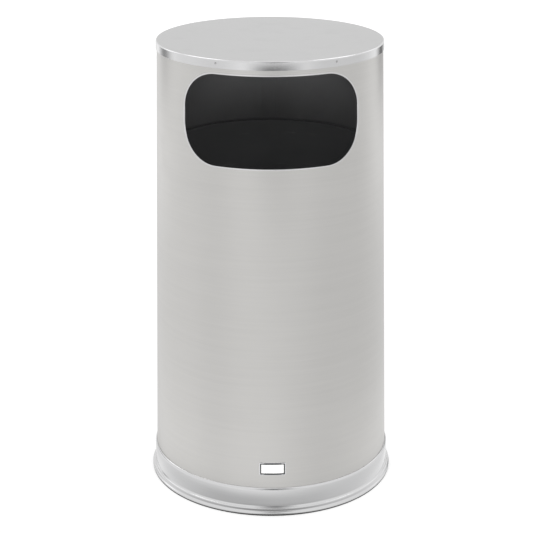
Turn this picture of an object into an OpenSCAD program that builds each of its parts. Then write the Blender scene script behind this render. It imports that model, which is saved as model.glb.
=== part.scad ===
// Round floor-standing litter bin with a flat lift-off lid, a side opening and a moulded liner.
// Millimetres, +Z up, origin on the floor at the centre of the base, opening towards -Y.

/* [Overall] */
// Height from the floor to the top of the lid
overall_h = 711; // [640:1:820]
// Outside diameter of the sheet body
body_d = 383; // [340:1:460]

/* [Body sheet] */
// Thickness of the body sheet
shell_t = 0.9; // [0.6:0.1:1.4]
// Gap between the two ends of the rolled sheet, at the back
seam_gap = 0.6; // [0.3:0.1:1.2]
// Width of the strip that backs the seam
strip_w = 26; // [16:1:40]
// Thickness of the strip that backs the seam
strip_t = 0.9; // [0.6:0.1:1.5]

/* [Opening] */
// Width of the opening, measured round the body
opening_w = 311; // [220:1:330]
// Height of the opening
opening_h = 145.5; // [132:0.5:170]
// Corner radius of the opening, as cut in the flat sheet
opening_r = 62; // [30:1:64]
// Distance from the top of the lid down to the opening
opening_drop = 24.2; // [22:0.1:40]
// Width of the edging that covers the cut edge
edging_w = 2.4; // [1.8:0.1:4]
// Thickness of the edging on each side of the sheet
edging_t = 0.5; // [0.3:0.1:0.8]

/* [Mouth ring] */
// Thickness of the rolled ring inside the mouth
ring_t = 1.2; // [0.8:0.1:1.6]
// Height of the ring's outer leg
ring_leg = 14; // [9:0.5:16]
// Width of the ring's top, on which the lid rests
ring_w = 8; // [5:0.5:10]
// Height of the ring's inner leg
ring_lip = 5; // [3:0.5:8]

/* [Lid] */
// Thickness of the lid sheet
lid_t = 0.9; // [0.6:0.1:1.4]
// Height of the lid's skirt, from the top of the lid
skirt_h = 14.5; // [12:0.5:18]
// Radius of the lid's rounded edge
lid_edge_r = 2.5; // [2:0.5:5]
// Gap all round between the skirt and the body
skirt_gap = 0.8; // [0.6:0.1:1.5]
// Number of grip dimples in the skirt
dimple_count = 6; // [3:1:12]
// Width of a grip dimple
dimple_d = 4; // [3:0.5:6]
// Turn of the lid on the body, in degrees
lid_turn = 2.7; // [0:0.1:30]
// Length of the stiffening channel under the lid
channel_l = 300; // [200:5:320]
// Width of the stiffening channel between its flanges
channel_w = 34; // [20:1:60]
// Depth of the stiffening channel
channel_h = 6; // [4:0.5:8]
// Width of each flange of the channel
channel_flange = 12; // [8:1:20]

/* [Base] */
// Height of the base band
band_h = 41.5; // [36:0.1:60]
// Thickness of the base band sheet
band_t = 1; // [0.8:0.1:1.4]
// How far the band stands out from the body
band_out = 2.7; // [2.6:0.1:4]
// Height of the flared foot at the bottom of the band
foot_h = 12; // [9:0.5:16]
// How far the foot stands out from the body at the floor
foot_out = 7.1; // [6.2:0.1:10]
// Width of the band's inturned bottom flange
flange_w = 11.4; // [10.8:0.1:14]
// Thickness of the base pan sheet
pan_t = 1; // [0.8:0.1:1.6]
// Height of the liner's seat above the floor
seat_h = 17; // [14:0.5:24]
// Height of the step that centres the liner
step_h = 5; // [3:0.5:8]
// Height of the stiffening bead in the base pan
bead_h = 3; // [1.5:0.5:5]
// Number of rivets that hold the base pan in the body
rivet_count = 8; // [4:1:16]
// Diameter of a rivet's shank
rivet_d = 3.2; // [2.4:0.1:4]

/* [Blank plate] */
// Width of the blank plate above the base band
plate_w = 42; // [24:1:60]
// Height of the plate
plate_h = 20; // [12:1:26]
// Distance from the top of the base band up to the plate
plate_rise = 19; // [8:1:60]
// Thickness of the plate
plate_t = 0.8; // [0.6:0.1:1.5]
// Width of the plate's raised rim
plate_rim = 1.5; // [1:0.1:3]

/* [Floor ring] */
// Thickness of the floor ring under the band
sole_t = 0.9; // [0.8:0.1:2]
// Thickness of the floor ring's hook over the flange
hook_t = 1.2; // [0.8:0.1:2]

/* [Liner] */
// Distance from the opening down to the liner's rim
liner_drop = 11; // [4:1:60]
// Gap between the liner's rim and the mouth ring that it lifts out through
liner_gap = 3.5; // [2:0.5:10]
// How much the liner's radius shrinks from its rim to its foot
liner_taper = 9; // [4:0.5:16]
// Wall thickness of the liner
liner_t = 2.4; // [1.8:0.1:3.5]
// How far the rolled rim stands out from the wall
rim_out = 6; // [5:0.5:8]
// Depth of the rolled rim
rim_h = 16; // [10:1:20]
// Number of gussets under the rim
gusset_count = 24; // [8:2:36]
// Thickness of a gusset
gusset_t = 1.8; // [1.2:0.1:3]
// Width of each hand hold
hold_w = 96; // [80:1:120]
// Height of each hand hold
hold_h = 28; // [24:1:36]
// Width of the raised border round a hand hold
hold_border = 4; // [3:0.5:6]

/* [Hidden] */
$fn = 128;

fit = 0.1; // gap between pieces that are pressed or welded together
seat_gap = 0.3; // gap where one piece rests on another
past = 5; // how far a cutter runs past what it cuts

front = 270; // direction of the opening, in degrees round +Z
back = 90; // direction of the seam

shell_ro = body_d / 2;
shell_ri = shell_ro - shell_t;
lid_ri = shell_ro + skirt_gap;
lid_ro = lid_ri + lid_t;
mouth_z = overall_h - lid_t - seat_gap;
flange_z = sole_t + band_t;
shell_foot_z = flange_z + seat_gap;

opening_top = overall_h - opening_drop;
opening_mid = opening_top - opening_h / 2;
edging_back = edging_t + fit; // how far the sheet's edge stays behind the edging's own edge

pan_ro = shell_ri - fit;
band_ro = shell_ro + band_out;
waist_ro = band_ro - 0.8; // the band narrows a little towards the foot
foot_ro = shell_ro + foot_out;
flange_ri = foot_ro - flange_w;

rivet_z = shell_foot_z + 3 * rivet_d;
rivet_a = 180 / rivet_count; // keeps the rivets clear of the seam
plate_z = band_h + plate_rise + plate_h / 2;

ring_ri = shell_ri - fit - ring_w;
liner_z = seat_h + seat_gap;
liner_rim_z = opening_mid - opening_h / 2 - liner_drop;
rim_ro = ring_ri - liner_gap;
rim_r = rim_ro - rim_out; // outside of the liner's wall under its rim
liner_foot_r = rim_r - liner_taper;
hold_gap = 4; // gap between the rim and the border of a hand hold
hold_z = liner_rim_z - rim_h - hold_gap - hold_border - hold_h / 2;

// Points on an arc of radius r about c, from angle a0 to a1
function arc(c, r, a0, a1, n = 6) =
    [for (i = [0:n]) let (a = a0 + (a1 - a0) * i / n) c + r * [cos(a), sin(a)]];
function unit(v) = v / norm(v);
// The direction to the right of v
function right_of(v) = [v.y, -v.x];
// A path moved t to its right, with mitred corners
function moved(path, t) =
    [for (i = [0:len(path) - 1])
        let (last = len(path) - 1,
             a = right_of(unit(path[max(i, 1)] - path[max(i, 1) - 1])),
             b = right_of(unit(path[min(i, last - 1) + 1] - path[min(i, last - 1)])),
             n = unit(a + b))
        path[i] + n * t / (n * a)];
function reversed(path) = [for (i = [len(path) - 1:-1:0]) path[i]];
// The outline of a sheet of thickness t that lies to the right of a path
function sheet(path, t) = concat(path, reversed(moved(path, t)));

// A sheet of thickness t bent along a path and spun about the axis
module spun_sheet(path, t) {
    rotate_extrude() polygon(sheet(path, t));
}

module tube(r_outer, r_inner, z0, z1) {
    translate([0, 0, z0])
        difference() {
            cylinder(r = r_outer, h = z1 - z0);
            translate([0, 0, -past]) cylinder(r = r_inner, h = z1 - z0 + 2 * past);
        }
}

// A part of a tube, w wide round its outside and centred on direction a
module tube_strip(r_outer, r_inner, z0, z1, w, a) {
    spread = w / r_outer * 180 / PI;
    rotate([0, 0, a - spread / 2])
        rotate_extrude(angle = spread)
            translate([r_inner, z0]) square([r_outer - r_inner, z1 - z0]);
}

// Stands its children's XY plane upright across direction a, with their Z pointing outwards
module facing(a) {
    rotate([0, 0, a]) rotate([90, 0, 90]) children();
}

// Upright slot with round ends, w wide and h high
module slot(w, h) {
    for (side = [-1, 1]) translate([0, side * (h - w) / 2]) circle(d = w);
    square([w, h - w], center = true);
}

// The opening's outline as a solid that runs through the wall, grown by g all round
module opening_cutter(g = 0) {
    half_angle = opening_w / body_d * 180 / PI;
    corner_angle = half_angle - asin(opening_r / shell_ro);
    rotate([0, 0, front - corner_angle])
        rotate_extrude(angle = 2 * corner_angle)
            translate([shell_ri - past, opening_mid - opening_h / 2 - g])
                square([shell_t + 2 * past, opening_h + 2 * g]);
    for (side = [-1, 1])
        facing(front + side * corner_angle)
            translate([0, opening_mid, shell_ri * cos(half_angle - corner_angle) - 2 * past])
                linear_extrude(shell_ro) slot(2 * (opening_r + g), opening_h + 2 * g);
}

// Repeats its children round the axis, n times, with the first at direction a
module around(n, a = 0) {
    for (i = [0:n - 1]) rotate([0, 0, a + i * 360 / n]) children();
}

// Holes for the base rivets, through walls out to radius r
module rivet_holes(r) {
    around(rivet_count, rivet_a)
        translate([r - 2 * past, 0, rivet_z]) rotate([0, 90, 0]) cylinder(d = rivet_d + fit, h = 3 * past);
}

module body_shell() {
    color("gainsboro")
        difference() {
            tube(shell_ro, shell_ri, shell_foot_z, mouth_z);
            opening_cutter(edging_back);
            rotate([0, 0, back])
                translate([shell_ri - past, -seam_gap / 2, shell_foot_z - past])
                    cube([shell_t + 2 * past, seam_gap, overall_h]);
            rivet_holes(shell_ro);
        }
}

module seam_strip() {
    color("darkgray")
        tube_strip(shell_ri - fit, shell_ri - fit - strip_t, seat_h + step_h + seat_gap,
                   mouth_z - ring_leg - seat_gap, strip_w, back);
}

module mouth_ring() {
    ro = shell_ri - fit;
    bend_r = ring_t + 0.6;
    ri = ring_ri;
    path = concat([[ri, mouth_z - ring_lip]],
                  arc([ri + bend_r, mouth_z - bend_r], bend_r, 180, 90),
                  arc([ro - bend_r, mouth_z - bend_r], bend_r, 90, 0),
                  [[ro, mouth_z - ring_leg]]);
    color("darkgray") spun_sheet(path, ring_t);
}

module opening_edging() {
    low = opening_mid - opening_h;
    high = opening_mid + opening_h;
    color("silver")
        difference() {
            intersection() {
                tube(shell_ro + edging_t, shell_ri - edging_t, low, high);
                opening_cutter(edging_w);
            }
            opening_cutter();
            difference() {
                tube(shell_ro + fit / 4, shell_ri - fit / 4, low, high);
                opening_cutter(edging_t);
            }
        }
}

module base_band() {
    lip_r = 4.3; // radius of the shoulder that turns in to the body
    lip_mid = band_ro - lip_r;
    lip_end = acos((shell_ro + seat_gap - lip_mid) / (lip_r - band_t)); // where the shoulder meets the body
    waist_top = foot_h + 8; // the band has narrowed to its waist here
    waist_end = foot_h + 1.2; // the waist turns out to the foot here
    ledge_r = 2; // radius of the foot's upper edge
    ledge_ro = foot_ro - 2.6;
    ledge_top = foot_h - 1;
    cove_r = 3.2; // radius of the hollow below that edge
    cove_z = foot_h - 5;
    curl_r = 1.7; // radius of the foot's lower edge
    path = concat(
        arc([lip_mid, band_h - lip_r], lip_r, lip_end, 0),
        [[waist_ro, waist_top], [waist_ro, waist_end]],
        arc([ledge_ro - ledge_r, ledge_top - ledge_r], ledge_r, 70, 0),
        arc([ledge_ro + cove_r, cove_z], cove_r, 180, 238),
        arc([foot_ro - curl_r, sole_t + curl_r], curl_r, 40, -90),
        [[flange_ri, sole_t]]);
    color("silver") spun_sheet(path, band_t);
}

module base_pan() {
    bend_r = pan_t + 1.4;
    bead_mid = liner_foot_r / 2;
    bead_w = 10;
    foot_gap = 6; // gap between the liner's foot and the step that centres it
    step_in = liner_foot_r + foot_gap;
    top_z = seat_h + step_h;
    path = concat(
        [[0, seat_h]],
        [for (a = [0:20:180]) [bead_mid - bead_w * cos(a), seat_h + bead_h * sin(a)]],
        [[step_in, seat_h], [step_in + step_h / 2, top_z]],
        arc([pan_ro - bend_r, top_z - bend_r], bend_r, 90, 0),
        [[pan_ro, shell_foot_z]]);
    color("dimgray")
        difference() {
            spun_sheet(path, pan_t);
            rivet_holes(pan_ro);
        }
}

module base_rivets() {
    head_t = waist_ro - band_t - shell_ro - 2 * fit; // fills the space behind the band
    head_in = shell_ro + fit / 2;
    bulb_t = 1.6; // thickness of the closed end inside the pan
    bulb_in = pan_ro - pan_t - fit - bulb_t;
    color("darkgray")
        around(rivet_count, rivet_a)
            translate([0, 0, rivet_z])
                rotate([0, 90, 0]) {
                    translate([0, 0, head_in]) cylinder(d = 2 * rivet_d, h = head_t);
                    translate([0, 0, bulb_in]) cylinder(d = 1.6 * rivet_d, h = bulb_t);
                    translate([0, 0, bulb_in]) cylinder(d = rivet_d, h = head_in + head_t / 2 - bulb_in);
                }
}

module floor_ring() {
    hook_ri = flange_ri - fit - hook_t;
    hook_out = 3; // how far the hook reaches over the flange
    hook_slant = 0.6;
    edge_back = 0.4; // how far the ring stays behind the foot's edge
    ring_ro = foot_ro - edge_back;
    color("black")
        rotate_extrude()
            polygon([[hook_ri, 0],
                     [ring_ro, 0],
                     [ring_ro, sole_t - fit / 2],
                     [flange_ri - fit, sole_t - fit / 2],
                     [flange_ri - fit, flange_z + fit],
                     [hook_ri + hook_out, flange_z + fit],
                     [hook_ri + hook_out - hook_slant, flange_z + fit + hook_t],
                     [hook_ri, flange_z + fit + hook_t]]);
}

// The plate's outline as a solid that stands through the front of the body, shrunk by g all round
module plate_block(g = 0) {
    corner_r = 2.5;
    r = corner_r - g;
    half_w = plate_w / 2 - corner_r;
    half_h = plate_h / 2 - corner_r;
    facing(front)
        translate([0, plate_z, shell_ri - past])
            linear_extrude(3 * past) {
                square([2 * half_w, 2 * (half_h + r)], center = true);
                square([2 * (half_w + r), 2 * half_h], center = true);
                for (x = [-half_w, half_w], y = [-half_h, half_h]) translate([x, y]) circle(r);
            }
}

module blank_plate() {
    back_r = shell_ro + fit;
    face_r = back_r + plate_t;
    color("silver")
        difference() {
            intersection() {
                tube(face_r, back_r, plate_z - plate_h, plate_z + plate_h);
                plate_block();
            }
            intersection() {
                tube(face_r + past, back_r + plate_t / 2, plate_z - plate_h, plate_z + plate_h);
                plate_block(plate_rim);
            }
        }
}

module lid_cap() {
    first = front + 180 / dimple_count + lid_turn; // direction of the first dimple
    path = concat(
        [[0, overall_h]],
        arc([lid_ro - lid_edge_r, overall_h - lid_edge_r], lid_edge_r, 90, 0),
        [[lid_ro, overall_h - skirt_h]]);
    dimple_deep = 0.5;
    ball_r = (dimple_d * dimple_d / 4 + dimple_deep * dimple_deep) / (2 * dimple_deep);
    dimple_up = 1; // how far the dimples lie above the skirt's middle
    dimple_z = overall_h - skirt_h / 2 + dimple_up;
    color("lightgray")
        difference() {
            union() {
                spun_sheet(path, lid_t);
                intersection() {
                    around(dimple_count, first)
                        translate([lid_ri - dimple_deep + ball_r, 0, dimple_z]) sphere(r = ball_r);
                    tube(lid_ri + lid_t / 2, lid_ri - 2 * dimple_deep,
                         dimple_z - dimple_d, dimple_z + dimple_d);
                }
            }
            around(dimple_count, first)
                translate([lid_ro - dimple_deep + ball_r, 0, dimple_z]) sphere(r = ball_r);
        }
}

module lid_channel() {
    top_z = overall_h - lid_t - fit / 2;
    half = channel_w / 2;
    bend = 3;
    path = [[-half - channel_flange, top_z],
            [-half, top_z],
            [-half + bend, top_z - channel_h + lid_t],
            [half - bend, top_z - channel_h + lid_t],
            [half, top_z],
            [half + channel_flange, top_z]];
    color("darkgray")
        rotate([0, 0, lid_turn])
            translate([-channel_l / 2, 0, 0])
                rotate([90, 0, 90]) linear_extrude(channel_l) polygon(sheet(path, lid_t));
}

// Radius of the liner's outside at height z
function liner_r(z) = liner_foot_r + liner_taper * (z - liner_z) / (liner_rim_z - liner_z);

// Level slot with round ends as a solid that runs through the liner's wall on both sides
module hold_cutter(g = 0) {
    for (a = [0, 180])
        facing(a)
            translate([0, hold_z, liner_foot_r - 2 * past])
                linear_extrude(liner_taper + 4 * past)
                    rotate(90) slot(hold_h + 2 * g, hold_w + 2 * g);
}

module liner_wall(grow, z0, z1) {
    rotate_extrude()
        polygon([[liner_r(z0) + grow - liner_t, z0], [liner_r(z0) + grow, z0],
                 [liner_r(z1) + grow, z1], [liner_r(z1) + grow - liner_t, z1]]);
}

module liner_tub() {
    base_up = 6; // how far the middle of the base is raised
    base_edge = liner_foot_r - 14;
    base_slant = 4; // width of the slope round the raised middle
    heel_r = 7; // radius between the wall and the foot
    roll_r = 4; // radius of the rim's rounded top
    lap = 1; // how far the rim's roll runs down into the wall
    gusset_up = 1; // how far a gusset stays above the rim's lower edge
    path = concat(
        [[0, liner_z + base_up], [base_edge, liner_z + base_up], [base_edge + base_slant, liner_z]],
        arc([liner_foot_r - heel_r, liner_z + heel_r], heel_r, -90, 0),
        [[rim_r, liner_rim_z - roll_r]]);
    rim_path = concat(
        [[rim_r - liner_t, liner_rim_z - roll_r - lap]],
        arc([rim_r - liner_t + roll_r, liner_rim_z - roll_r], roll_r, 180, 90),
        arc([rim_ro - roll_r, liner_rim_z - roll_r], roll_r, 90, 0),
        [[rim_ro, liner_rim_z - rim_h]]);
    color([0.1, 0.1, 0.1])
        difference() {
            union() {
                rotate_extrude() polygon(sheet(path, -liner_t));
                rotate_extrude() polygon(sheet(rim_path, liner_t));
                intersection() {
                    liner_wall(hold_border / 2, hold_z - hold_h, hold_z + hold_h);
                    hold_cutter(hold_border);
                }
                around(gusset_count, 180 / gusset_count)
                    translate([rim_r - liner_t / 2, -gusset_t / 2, liner_rim_z - rim_h + gusset_up])
                        cube([rim_out, gusset_t, rim_h - roll_r]);
            }
            hold_cutter();
        }
}

body_shell();
seam_strip();
mouth_ring();
opening_edging();
base_band();
base_pan();
base_rivets();
floor_ring();
blank_plate();
lid_cap();
lid_channel();
liner_tub();
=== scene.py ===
"""Dresses the round flat-top waste bin: pressed and rolled steel, a moulded liner, and a pale studio.

Metres, +Z up, origin on the floor at the centre of the base, opening towards -Y. Flat work such as the
body sheet is laid out in the XY plane, X round the body, Y up and Z outwards, and is then rolled up.
"""

import math

import bmesh
import bpy
import numpy as np
from bpy.props import FloatProperty, FloatVectorProperty, IntProperty, PointerProperty
from mathutils import Matrix, Vector


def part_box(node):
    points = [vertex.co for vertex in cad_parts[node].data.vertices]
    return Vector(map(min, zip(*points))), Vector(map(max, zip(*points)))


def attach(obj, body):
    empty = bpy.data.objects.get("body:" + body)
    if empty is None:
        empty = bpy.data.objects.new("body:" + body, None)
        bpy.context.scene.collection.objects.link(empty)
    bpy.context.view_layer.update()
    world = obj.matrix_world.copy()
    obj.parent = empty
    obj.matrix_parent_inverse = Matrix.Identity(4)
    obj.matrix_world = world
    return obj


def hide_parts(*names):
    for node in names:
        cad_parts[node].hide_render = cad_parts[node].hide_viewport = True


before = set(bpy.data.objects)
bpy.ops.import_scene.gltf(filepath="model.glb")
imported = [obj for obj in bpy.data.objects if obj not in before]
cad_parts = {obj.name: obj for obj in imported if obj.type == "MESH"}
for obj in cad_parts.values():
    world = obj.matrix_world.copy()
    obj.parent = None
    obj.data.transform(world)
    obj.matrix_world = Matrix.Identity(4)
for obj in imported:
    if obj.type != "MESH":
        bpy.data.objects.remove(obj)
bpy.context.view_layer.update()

bl_info = {
    "name": "Flat top waste bin",
    "version": (1, 0, 0),
    "blender": (4, 5, 0),
    "location": "3D View > Sidebar > Waste bin",
    "description": "Builds the visible pieces, finishes and studio of a round steel waste bin",
    "category": "Object",
}

MM = 0.001
CAN, LID, LINER = "can", "lid", "liner"
# Faces round the bin, round a corner of the opening and across its straight top
SPIN_STEPS, CORNER_STEPS, MIDDLE_STEPS = 288, 28, 76
# Edges that fold by more than this stay crisp
SHARP = math.radians(28)
# Points closer than this become one
MERGE = 1e-7
# Clearance between sheets that lie on each other
FIT = 0.1 * MM
# Width of the base band's inturned flange
FLANGE_W = 11.4 * MM
SHELL_LOW, SHELL_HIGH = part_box("body_shell")
LID_LOW, LID_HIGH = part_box("lid_cap")
BAND_LOW, BAND_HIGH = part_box("base_band")
PAN_LOW, PAN_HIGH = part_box("base_pan")
RING_LOW, RING_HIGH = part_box("mouth_ring")
GUARD_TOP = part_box("floor_ring")[1].z
LINER_LOW, LINER_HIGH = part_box("liner_tub")
EDGING_LOW, EDGING_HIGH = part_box("opening_edging")
CHANNEL_LOW, CHANNEL_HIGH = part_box("lid_channel")
RIVETS_LOW, RIVETS_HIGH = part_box("base_rivets")
STRIP_LOW, STRIP_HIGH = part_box("seam_strip")
PLATE_LOW, PLATE_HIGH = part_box("blank_plate")
# The liner's rim and the outside radius of its wall at the top and at the foot
RIM_OUT, RIM_H, LINER_TAPER = 6 * MM, 16 * MM, 9 * MM
LINER_RIM_R = LINER_HIGH.y - RIM_OUT
LINER_FOOT_R = LINER_RIM_R - LINER_TAPER
# The liner's hand holds, their raised border and how far it lies below the rim
HOLD_W, HOLD_H, HOLD_BORDER, HOLD_GAP = 96 * MM, 28 * MM, 4 * MM, 4 * MM
HOLD_Z = LINER_HIGH.z - RIM_H - HOLD_BORDER - HOLD_GAP - HOLD_H / 2
# From the bin's axis to the side of the studio floor
FLOOR_REACH = 14.0


def length(name, description, default):
    """A size in metres that the sidebar shows."""
    return FloatProperty(name=name, description=description, default=default, unit="LENGTH", precision=4)


def tone(name, description, default):
    """A colour that the sidebar shows."""
    return FloatVectorProperty(name=name, description=description, default=default, subtype="COLOR",
                               size=3, min=0, max=1)


class BinSizes(bpy.types.PropertyGroup):
    """Sizes of the bin's visible pieces."""

    body_r: length("Body radius", "Outside radius of the rolled body", SHELL_HIGH.y)
    shell_t: length("Body sheet", "Thickness of the body sheet", 0.9 * MM)
    seam_gap: length("Seam gap", "Gap between the ends of the rolled sheet", 0.6 * MM)
    opening_w: length("Opening width", "Width of the opening, measured round the body", 311 * MM)
    opening_r: length("Opening corner", "Corner radius of the opening", 62 * MM)
    edging_w: length("Edging width", "Width of the edging round the opening", 2.4 * MM)
    edging_t: length("Edging thickness", "How far the edging stands out from the sheet", 0.5 * MM)
    lid_t: length("Lid sheet", "Thickness of the lid sheet", 0.9 * MM)
    lid_edge_r: length("Lid edge", "Radius of the lid's rounded edge", 2.5 * MM)
    dimple_d: length("Dimple", "Width of a grip dimple in the lid's skirt", 4 * MM)
    dimple_count: IntProperty(name="Dimples", description="Number of grip dimples", default=6, min=3)
    lid_turn: FloatProperty(name="Lid turn", description="Turn of the lid on the body",
                            default=math.radians(2.7), subtype="ANGLE")
    band_t: length("Band sheet", "Thickness of the base band sheet", 1 * MM)
    liner_t: length("Liner wall", "Thickness of the liner's wall", 2.4 * MM)
    gusset_count: IntProperty(name="Gussets", description="Number of gussets under the liner's rim",
                              default=24, min=4)
    rivet_count: IntProperty(name="Rivets", description="Number of rivets in the base pan", default=8, min=4)
    plate_rim: length("Plate rim", "Width of the blank plate's raised rim", 1.5 * MM)


class BinColours(bpy.types.PropertyGroup):
    """Colours of the bin's finishes."""

    body_steel: tone("Body steel", "Satin steel of the body", (0.618, 0.61, 0.595))
    lid_steel: tone("Lid steel", "Satin steel of the lid's top", (0.505, 0.505, 0.505))
    bright_steel: tone("Bright steel", "Polished skirt, edging and base band", (0.69, 0.69, 0.695))
    plate_metal: tone("Plate metal", "Rim of the blank plate", (0.75, 0.75, 0.76))
    paint: tone("Paint", "Dark paint inside", (0.098, 0.098, 0.1))
    plastic: tone("Plastic", "Liner plastic", (0.068, 0.069, 0.071))
    rubber: tone("Rubber", "Floor ring", (0.03, 0.03, 0.03))
    plate_edge: tone("Plate edge", "Dark edge of the blank plate's field", (0.025, 0.026, 0.027))
    enamel: tone("Enamel", "Field of the blank plate", (0.78, 0.78, 0.77))


class StageSettings(bpy.types.PropertyGroup):
    """Camera and light of the studio."""

    focal_px: FloatProperty(name="Focal length", description="Focal length in pixels of the frame",
                            default=1604.3)
    frame_px: IntProperty(name="Frame", description="Width and height of the frame in pixels", default=533)
    axis_px: FloatProperty(name="Axis column", description="Frame column of the bin's axis", default=270.54)
    horizon_px: FloatProperty(name="Horizon row", description="Frame row of the horizon", default=-280.1)
    distance: length("Distance", "From the film to the bin's axis", 2.714)
    height: length("Height", "Height of the camera above the floor", 1.2484)
    turn: FloatProperty(name="Turn", description="How far the camera stands to the left of the opening",
                        default=math.radians(0.7), subtype="ANGLE")
    lean: FloatProperty(name="Lean", description="Slope of upright lines to the left in the frame",
                        default=0.0025)


def sizes():
    """The bin's sizes, as the sidebar has them."""
    return bpy.context.scene.bin_sizes


def colours():
    """The bin's colours, as the sidebar has them."""
    return bpy.context.scene.bin_colours


# Outlines

def arc(x, z, r, start, end, steps=10):
    """Points on an arc about (x, z), between two angles in degrees."""
    angles = np.radians(np.linspace(start, end, steps + 1))
    return [(x + r * math.cos(a), z + r * math.sin(a)) for a in angles]


def moved(path, distance):
    """A path moved to its right, with mitred corners."""
    points = [Vector(p) for p in path]
    rights = [Vector(((b - a).y, (a - b).x)).normalized() for a, b in zip(points, points[1:])]
    result = []
    for point, before, after in zip(points, rights[:1] + rights, rights + rights[-1:]):
        mitre = (before + after).normalized()
        result.append(tuple(point + mitre * distance / mitre.dot(before)))
    return result


def folded(path, thickness):
    """The outline of a sheet that lies to the right of a path, with slightly rounded ends."""
    inner = moved(path, thickness)
    start = moved(path, thickness / 2)[0]
    end = moved(path, thickness / 2)[-1]
    back = (Vector(path[0]) - Vector(path[1])).normalized() * thickness / 4
    on = (Vector(path[-1]) - Vector(path[-2])).normalized() * thickness / 4
    first = [] if path[0][0] < MM else [tuple(Vector(start) + back)]
    return first + path + [tuple(Vector(end) + on)] + inner[::-1]


# Meshes

def spun(outline, steps=SPIN_STEPS):
    """A closed outline in the XZ plane, spun all round the upright axis."""
    bm = bmesh.new()
    verts = [bm.verts.new((x, 0, z)) for x, z in outline]
    # No edge runs along the axis
    pairs = [(a, b) for a, b in zip(verts, verts[1:] + verts[:1]) if max(a.co.x, b.co.x) > MM / 10]
    edges = [bm.edges.new(pair) for pair in pairs]
    bmesh.ops.spin(bm, geom=verts + edges, cent=(0, 0, 0), axis=(0, 0, 1), dvec=(0, 0, 0),
                   angle=math.tau, steps=steps, use_merge=True)
    bmesh.ops.remove_doubles(bm, verts=bm.verts, dist=MERGE)
    bmesh.ops.recalc_face_normals(bm, faces=bm.faces)
    return bm


def rolled(bm, radius):
    """Rolls flat work round the upright axis: X becomes the distance round, and Z stands outwards."""
    for v in bm.verts:
        r = radius(v.co.y) if callable(radius) else radius
        turn = v.co.x / r
        v.co = Vector(((r + v.co.z) * math.sin(turn), -(r + v.co.z) * math.cos(turn), v.co.y))
    bmesh.ops.recalc_face_normals(bm, faces=bm.faces)
    return bm


def extruded(bm, faces, way):
    """Grows faces into a solid along a vector."""
    grown = bmesh.ops.extrude_face_region(bm, geom=faces, use_keep_orig=True)["geom"]
    ends = [g for g in grown if isinstance(g, bmesh.types.BMVert)]
    bmesh.ops.translate(bm, verts=ends, vec=way)
    bmesh.ops.recalc_face_normals(bm, faces=bm.faces)


def ring_between(inner, outer, thickness):
    """Flat work between two loops with as many points each, as thick as asked, upwards from Z = 0."""
    bm = bmesh.new()
    edges = []
    for loop in (inner, outer):
        verts = [bm.verts.new((x, y, 0)) for x, y in loop]
        edges += [bm.edges.new(pair) for pair in zip(verts, verts[1:] + verts[:1])]
    faces = bmesh.ops.bridge_loops(bm, edges=edges)["faces"]
    extruded(bm, faces, (0, 0, thickness))
    return bm


def softened(bm, edges, width, segments=2):
    """Rounds edges."""
    bmesh.ops.bevel(bm, geom=edges, offset=width, offset_type="OFFSET", affect="EDGES", segments=segments,
                    profile=0.5, material=-1, clamp_overlap=True)


def braced(bm, axis, places):
    """Cuts a loop across the mesh at each place, so that long faces stay flat beside rounded ends."""
    for place in places:
        bmesh.ops.bisect_plane(bm, geom=bm.verts[:] + bm.edges[:] + bm.faces[:], plane_co=axis * place,
                               plane_no=axis)


def sharp_edges(bm):
    """The edges at which the mesh folds sharply."""
    return [e for e in bm.edges if len(e.link_faces) == 2 and e.calc_face_angle() > SHARP]


def add_mesh(bm, other):
    """Adds another mesh to this one."""
    scratch = bpy.data.meshes.new("scratch")
    other.to_mesh(scratch)
    other.free()
    bm.from_mesh(scratch)
    bpy.data.meshes.remove(scratch)


def slot_loop(w, h, steps=16):
    """The outline of a level slot with round ends."""
    r = h / 2
    straight = w / 2 - r
    return arc(straight, 0, r, -90, 90, steps) + arc(-straight, 0, r, 90, 270, steps)


def rounded_loop(w, h, r, steps=6):
    """The outline of a rectangle with round corners."""
    x, y = w / 2 - r, h / 2 - r
    corners = [(x, -y, -90), (x, y, 0), (-x, y, 90), (-x, -y, 180)]
    return [p for cx, cy, a in corners for p in arc(cx, cy, r, a, a + 90, steps)]


def piece(name, bm, body, nodes, materials, pick=None, angle=SHARP):
    """Makes the object, gives each face its finish, and ties it to the frame."""
    for f in bm.faces:
        f.smooth = True
        f.material_index = pick(f) if pick else 0
    for e in bm.edges:
        e.smooth = not (len(e.link_faces) == 2 and e.calc_face_angle(0) > angle)
    mesh = bpy.data.meshes.new(name)
    bm.to_mesh(mesh)
    bm.free()
    obj = bpy.data.objects.new(name, mesh)
    bpy.context.scene.collection.objects.link(obj)
    for material in materials:
        mesh.materials.append(material)
    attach(obj, body)
    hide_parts(*nodes)
    return obj


def cut(bm, cutters):
    """Takes the cutters' solids out of a mesh."""
    host = bpy.data.meshes.new("host")
    bm.to_mesh(host)
    bm.free()
    tool = bpy.data.meshes.new("tool")
    cutters.to_mesh(tool)
    cutters.free()
    host_obj = bpy.data.objects.new("host", host)
    tool_obj = bpy.data.objects.new("tool", tool)
    for obj in (host_obj, tool_obj):
        bpy.context.scene.collection.objects.link(obj)
    modifier = host_obj.modifiers.new("cut", "BOOLEAN")
    modifier.object = tool_obj
    modifier.operation = "DIFFERENCE"
    modifier.solver = "EXACT"
    graph = bpy.context.evaluated_depsgraph_get()
    done = bpy.data.meshes.new_from_object(host_obj.evaluated_get(graph))
    result = bmesh.new()
    result.from_mesh(done)
    for obj in (host_obj, tool_obj):
        bpy.data.objects.remove(obj)
    for mesh in (host, tool, done):
        bpy.data.meshes.remove(mesh)
    return result


# Shader maths

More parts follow.
